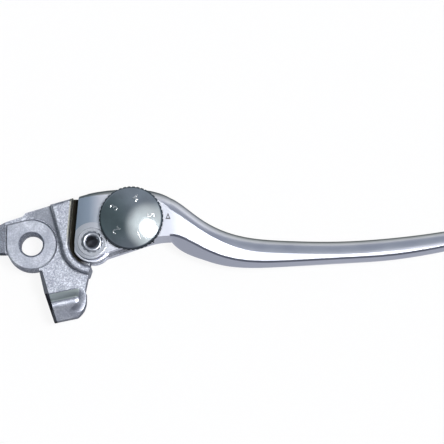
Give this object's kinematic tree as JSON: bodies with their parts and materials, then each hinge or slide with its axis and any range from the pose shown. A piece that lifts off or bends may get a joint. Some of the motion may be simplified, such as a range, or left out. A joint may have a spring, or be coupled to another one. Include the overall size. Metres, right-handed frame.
{
  "type": "motorcycle brake lever",
  "caption": "Motorcycle front brake lever: a polished blade riveted to a cast pivot bracket, with a numbered dial whose cam sets how far the blade stands from the handlebar.",
  "frame": {"origin": "centre of the main pivot bore, at the middle of its height", "axes": "+Z along the pivot bore, out of the dial's side; +X along the blade towards its ball; +Y forward, away from the handlebar"},
  "size_m": [0.2017, 0.0506, 0.0212],
  "materials": {
    "cast_aluminium": "as cast",
    "polished_aluminium": "polished",
    "chrome": "bright plated",
    "plated_steel": "zinc plated",
    "cam_steel": "hardened",
    "spring_steel": "drawn wire",
    "bronze": "sintered"
  },
  "bodies": {
    "bracket": {"pivot_bracket": "cast_aluminium", "pivot_bush": "bronze", "return_spring": "spring_steel"},
    "lever": {"lever_blade": "polished_aluminium", "pivot_rivet": "plated_steel", "rivet_washer": "plated_steel", "dial_washer": "plated_steel", "clip_washer": "plated_steel"},
    "dial": {"adjuster_dial": "chrome", "adjuster_cam": "cam_steel", "stem_clip": "spring_steel"}
  },
  "joints": [
    {"name": "lever_reach", "type": "hinge", "parent": "bracket", "child": "lever", "pos_m": [0.0229, 0.00025, 0], "axis": [0, 0, 1], "range_deg": [0, 5], "deforming": ["return_spring"]},
    {"name": "dial_turn", "type": "hinge", "parent": "lever", "child": "dial", "pos_m": [0.0375, 0.009, 0], "axis": [0, 0, -1], "range_deg": [0, 288]}
  ],
  "couplings": [
    {"joint": "lever_reach", "follows": "dial_turn", "ratio": 0.01736}
  ]
}
